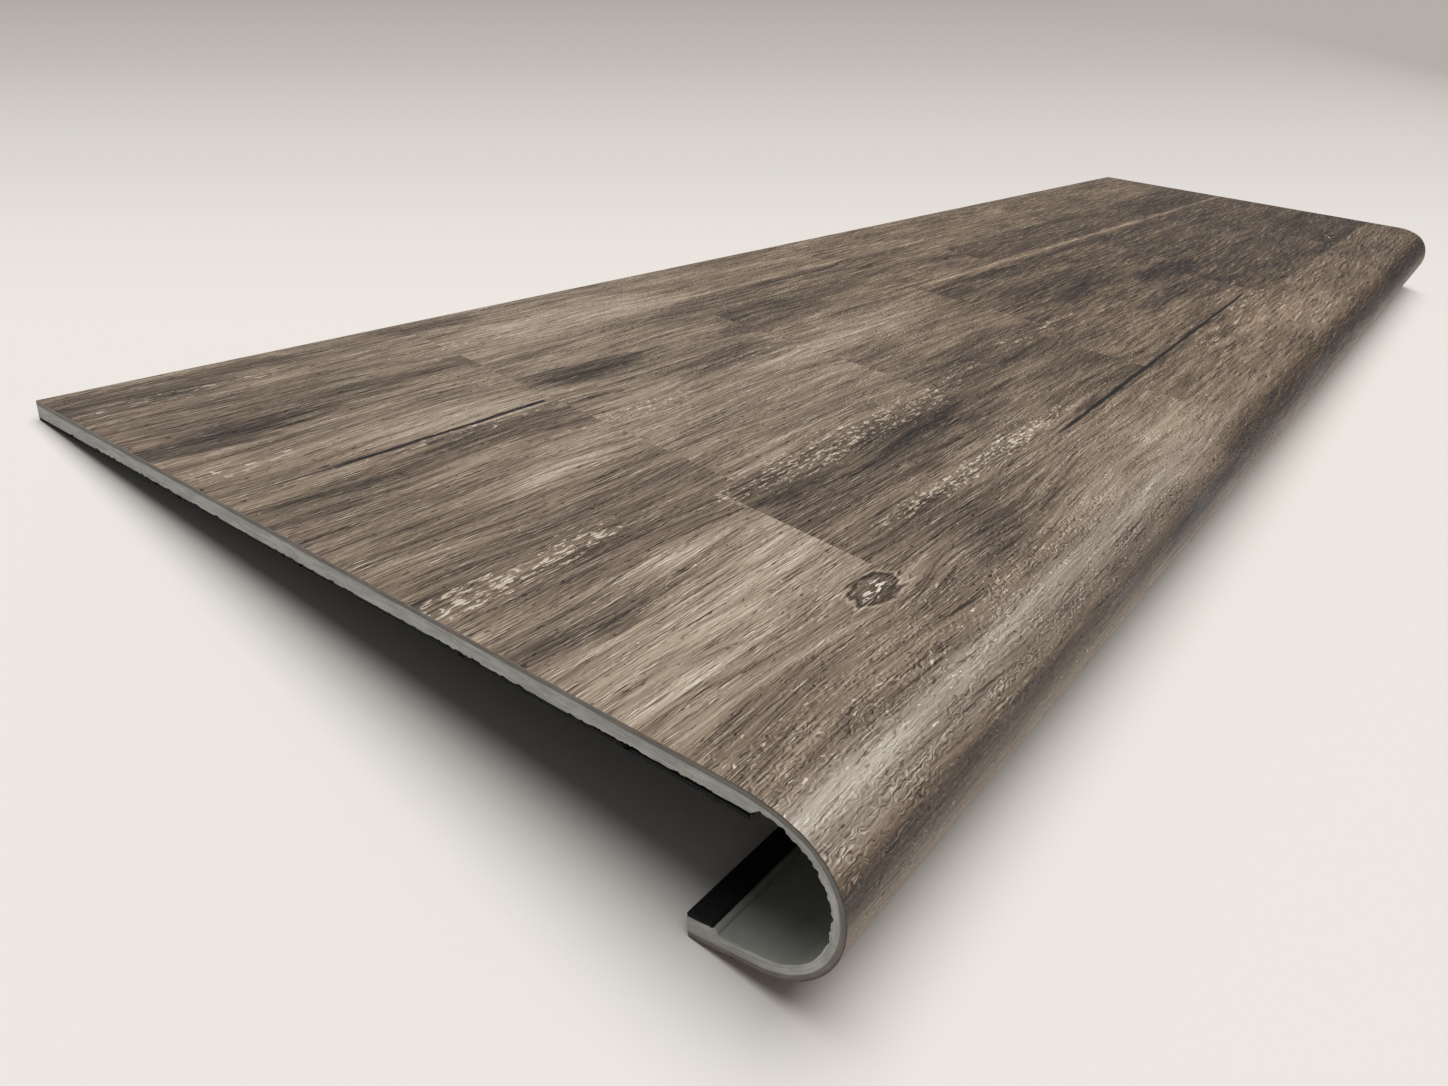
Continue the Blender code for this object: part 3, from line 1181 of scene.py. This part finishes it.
# %% Geometry Nodes: flakes along a saw cut
burr_values = {"Flakes": 220.0, "Flake size": 0.00052, "Spread": 0.0006}
flake_offsets = ((-0.3, -1.0, -1.0), (0.3, 1.0, 0.6))
flake_turns = ((-math.pi,) * 3, (math.pi,) * 3)
flake_shapes = ((0.4, 0.7, 0.15), (0.9, 1.6, 0.45))


def flake_tree():
    tree, given = start_tree("flakes_along_the_cut", (*burr_values, "Seed"))

    def draw(ends, extra):
        """A random vector for each flake, between two ends."""
        inputs = {"Min": ends[0], "Max": ends[1], "Seed": given["Seed"] + extra}
        return add(tree, "FunctionNodeRandomValue", inputs, "Value", data_type="FLOAT_VECTOR")

    path = {"Curve": given["Geometry"], "Count": given["Flakes"]}
    points = add(tree, "GeometryNodeCurveToPoints", path, "Points", mode="COUNT")
    away = vector("MULTIPLY", draw(flake_offsets, 1.0), given["Spread"])
    flakes = {
        "Points": add(tree, "GeometryNodeSetPosition", {"Geometry": points, "Offset": away}),
        "Instance": add(tree, "GeometryNodeMeshIcoSphere", {"Radius": 0.5}, "Mesh"),
        "Rotation": draw(flake_turns, 2.0),
        "Scale": vector("MULTIPLY", draw(flake_shapes, 3.0), given["Flake size"]),
    }
    end_tree(add(tree, "GeometryNodeInstanceOnPoints", flakes), given["Finish"])
    return tree


the_flakes = flake_tree()
print("flake tree has", len(the_flakes.nodes), "nodes")

# %% [markdown]
# The path is a straight curve just inside each saw cut, at the joint of core and foam.

# %% Pieces: saw burrs
burr_inset = 0.0006
burr_from = 0.05


def burr(name, side, seed):
    """The crumbs along the core's lower edge at one end of the tread."""
    path = bpy.data.curves.new(name + "_line", "CURVE")
    path.dimensions = "3D"
    spline = path.splines.new("POLY")
    spline.points.add(1)
    for point, run in zip(spline.points, (burr_from, step_run)):
        point.co = (side * (half_length - burr_inset), -run, -board_thickness, 1.0)
    line = in_scene(name + "_line", path)
    mesh = grown(line, the_flakes, {**burr_values, "Seed": float(seed)})
    bpy.data.objects.remove(line, do_unlink=True)
    return bend(in_scene(name, mesh), core_finish)


burrs = [burr("saw_burr_near", -1, 3), burr("saw_burr_far", 1, 7)]

# %% [markdown]
# The floor is one pale sheet that gets darker towards the far edge of the picture, as a studio
# floor does where the light falls off. The lines of equal brightness meet in one point of the
# floor, so the fall-off is an angle about that point, and a colour ramp turns it into a tone. An
# angle jumps behind its own point, so the distance to the right is never taken as less than
# fan_inner. Far out, the floor fades into the backdrop.

# %% Floor and backdrop
fan_point = (-1.2002, 0.5314, 0.0)
fan_inner = 0.68
fan_start = math.radians(-24)
fan_end = math.radians(12)
fade_from, fade_to = 2.0, 14.0
floor_radius = 60.0
floor_tones = [
    (0.00, (237, 232, 226)),
    (0.08, (235, 230, 224)),
    (0.17, (232, 227, 221)),
    (0.33, (223, 218, 213)),
    (0.53, (211, 206, 200)),
    (0.75, (193, 188, 182)),
    (1.00, (178, 172, 166)),
]
backdrop_tone = linear((181, 175, 169))


def pale_floor():
    finish, shader = new_finish("pale floor", 0.9, 0.0)
    place = add(finish.node_tree, "ShaderNodeTexCoord", give="Object")
    x, y, _ = split(vector("SUBTRACT", place, fan_point))
    angle = calc("ARCTAN2", y, calc("MAXIMUM", x, fan_inner))
    share = (angle - fan_start) / (fan_end - fan_start)
    colour = ramp(share, [(at, linear(tone)) for at, tone in floor_tones])
    faded = smooth(vector("LENGTH", place), fade_from, fade_to)
    feed(shader["Base Color"], mix_colour(faded, colour, backdrop_tone))
    return finish


shell = bmesh.new()
bmesh.ops.create_circle(shell, cap_ends=True, segments=96, radius=floor_radius)
floor_mesh = bpy.data.meshes.new("floor")
shell.to_mesh(floor_mesh)
shell.free()
floor_mesh.materials.append(pale_floor())
floor = in_scene("floor", floor_mesh)
floor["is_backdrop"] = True
print("floor radius", floor_radius, "m")

# %% [markdown]
# Plain soft light: one very wide lamp overhead, a little behind the tread, and a weak even sky. The
# lamp is a sun with a large disc, so it lights the whole floor alike and its shadows are soft. The
# sky is weak, so the hollow under the board stays dark. The camera sees the backdrop's tone
# instead.

# %% Light
sky_level = 0.14
lamp_level = 0.86
lamp_disc = math.radians(60)
lamp_from = Vector((0.10, 0.09, 1.0))

world = bpy.data.worlds.new("studio")
world.use_nodes = True
bpy.context.scene.world = world
seen_by_camera = add(world.node_tree, "ShaderNodeLightPath", give="Is Camera Ray")
sky_colour = mix_colour(seen_by_camera, (sky_level,) * 3, backdrop_tone)
feed(world.node_tree.nodes["Background"].inputs["Color"], sky_colour)

lamp_data = bpy.data.lights.new("overhead_lamp", "SUN")
lamp_data.angle = lamp_disc
lamp_data.energy = lamp_level * math.pi / lamp_from.normalized().z
lamp = in_scene("overhead_lamp", lamp_data)
lamp.rotation_euler = lamp_from.to_track_quat("Z", "Y").to_euler()
print("lamp", round(lamp_data.energy, 2))

# %% [markdown]
# Last, each piece is tied to the frame: it rides on the tread's one body, and it stands in for the
# plain layer that it replaces.

# %% Tie the pieces to the frame
for piece, slot, node in (
    (film, "printed_wood_film", "wear_layer"),
    (vinyl, "dark_vinyl", "vinyl_layer"),
    (core, "light_core", "rigid_core"),
    (underlay, "black_underlay", "underlay_sheet"),
    (strip, "black_underlay", "underlay_strip"),
    (burrs[0], "light_core", None),
    (burrs[1], "light_core", None),
):
    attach(piece, "root")
    if node:
        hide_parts(node)
    print(piece.name, "has the finish", slot)

# %% Compare the boxes and finish
low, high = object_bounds()
for corner, cad_corner in ((low, cad_low), (high, cad_high)):
    print("grown by, in mm", [round((a - b) * 1000, 3) for a, b in zip(corner, cad_corner)])
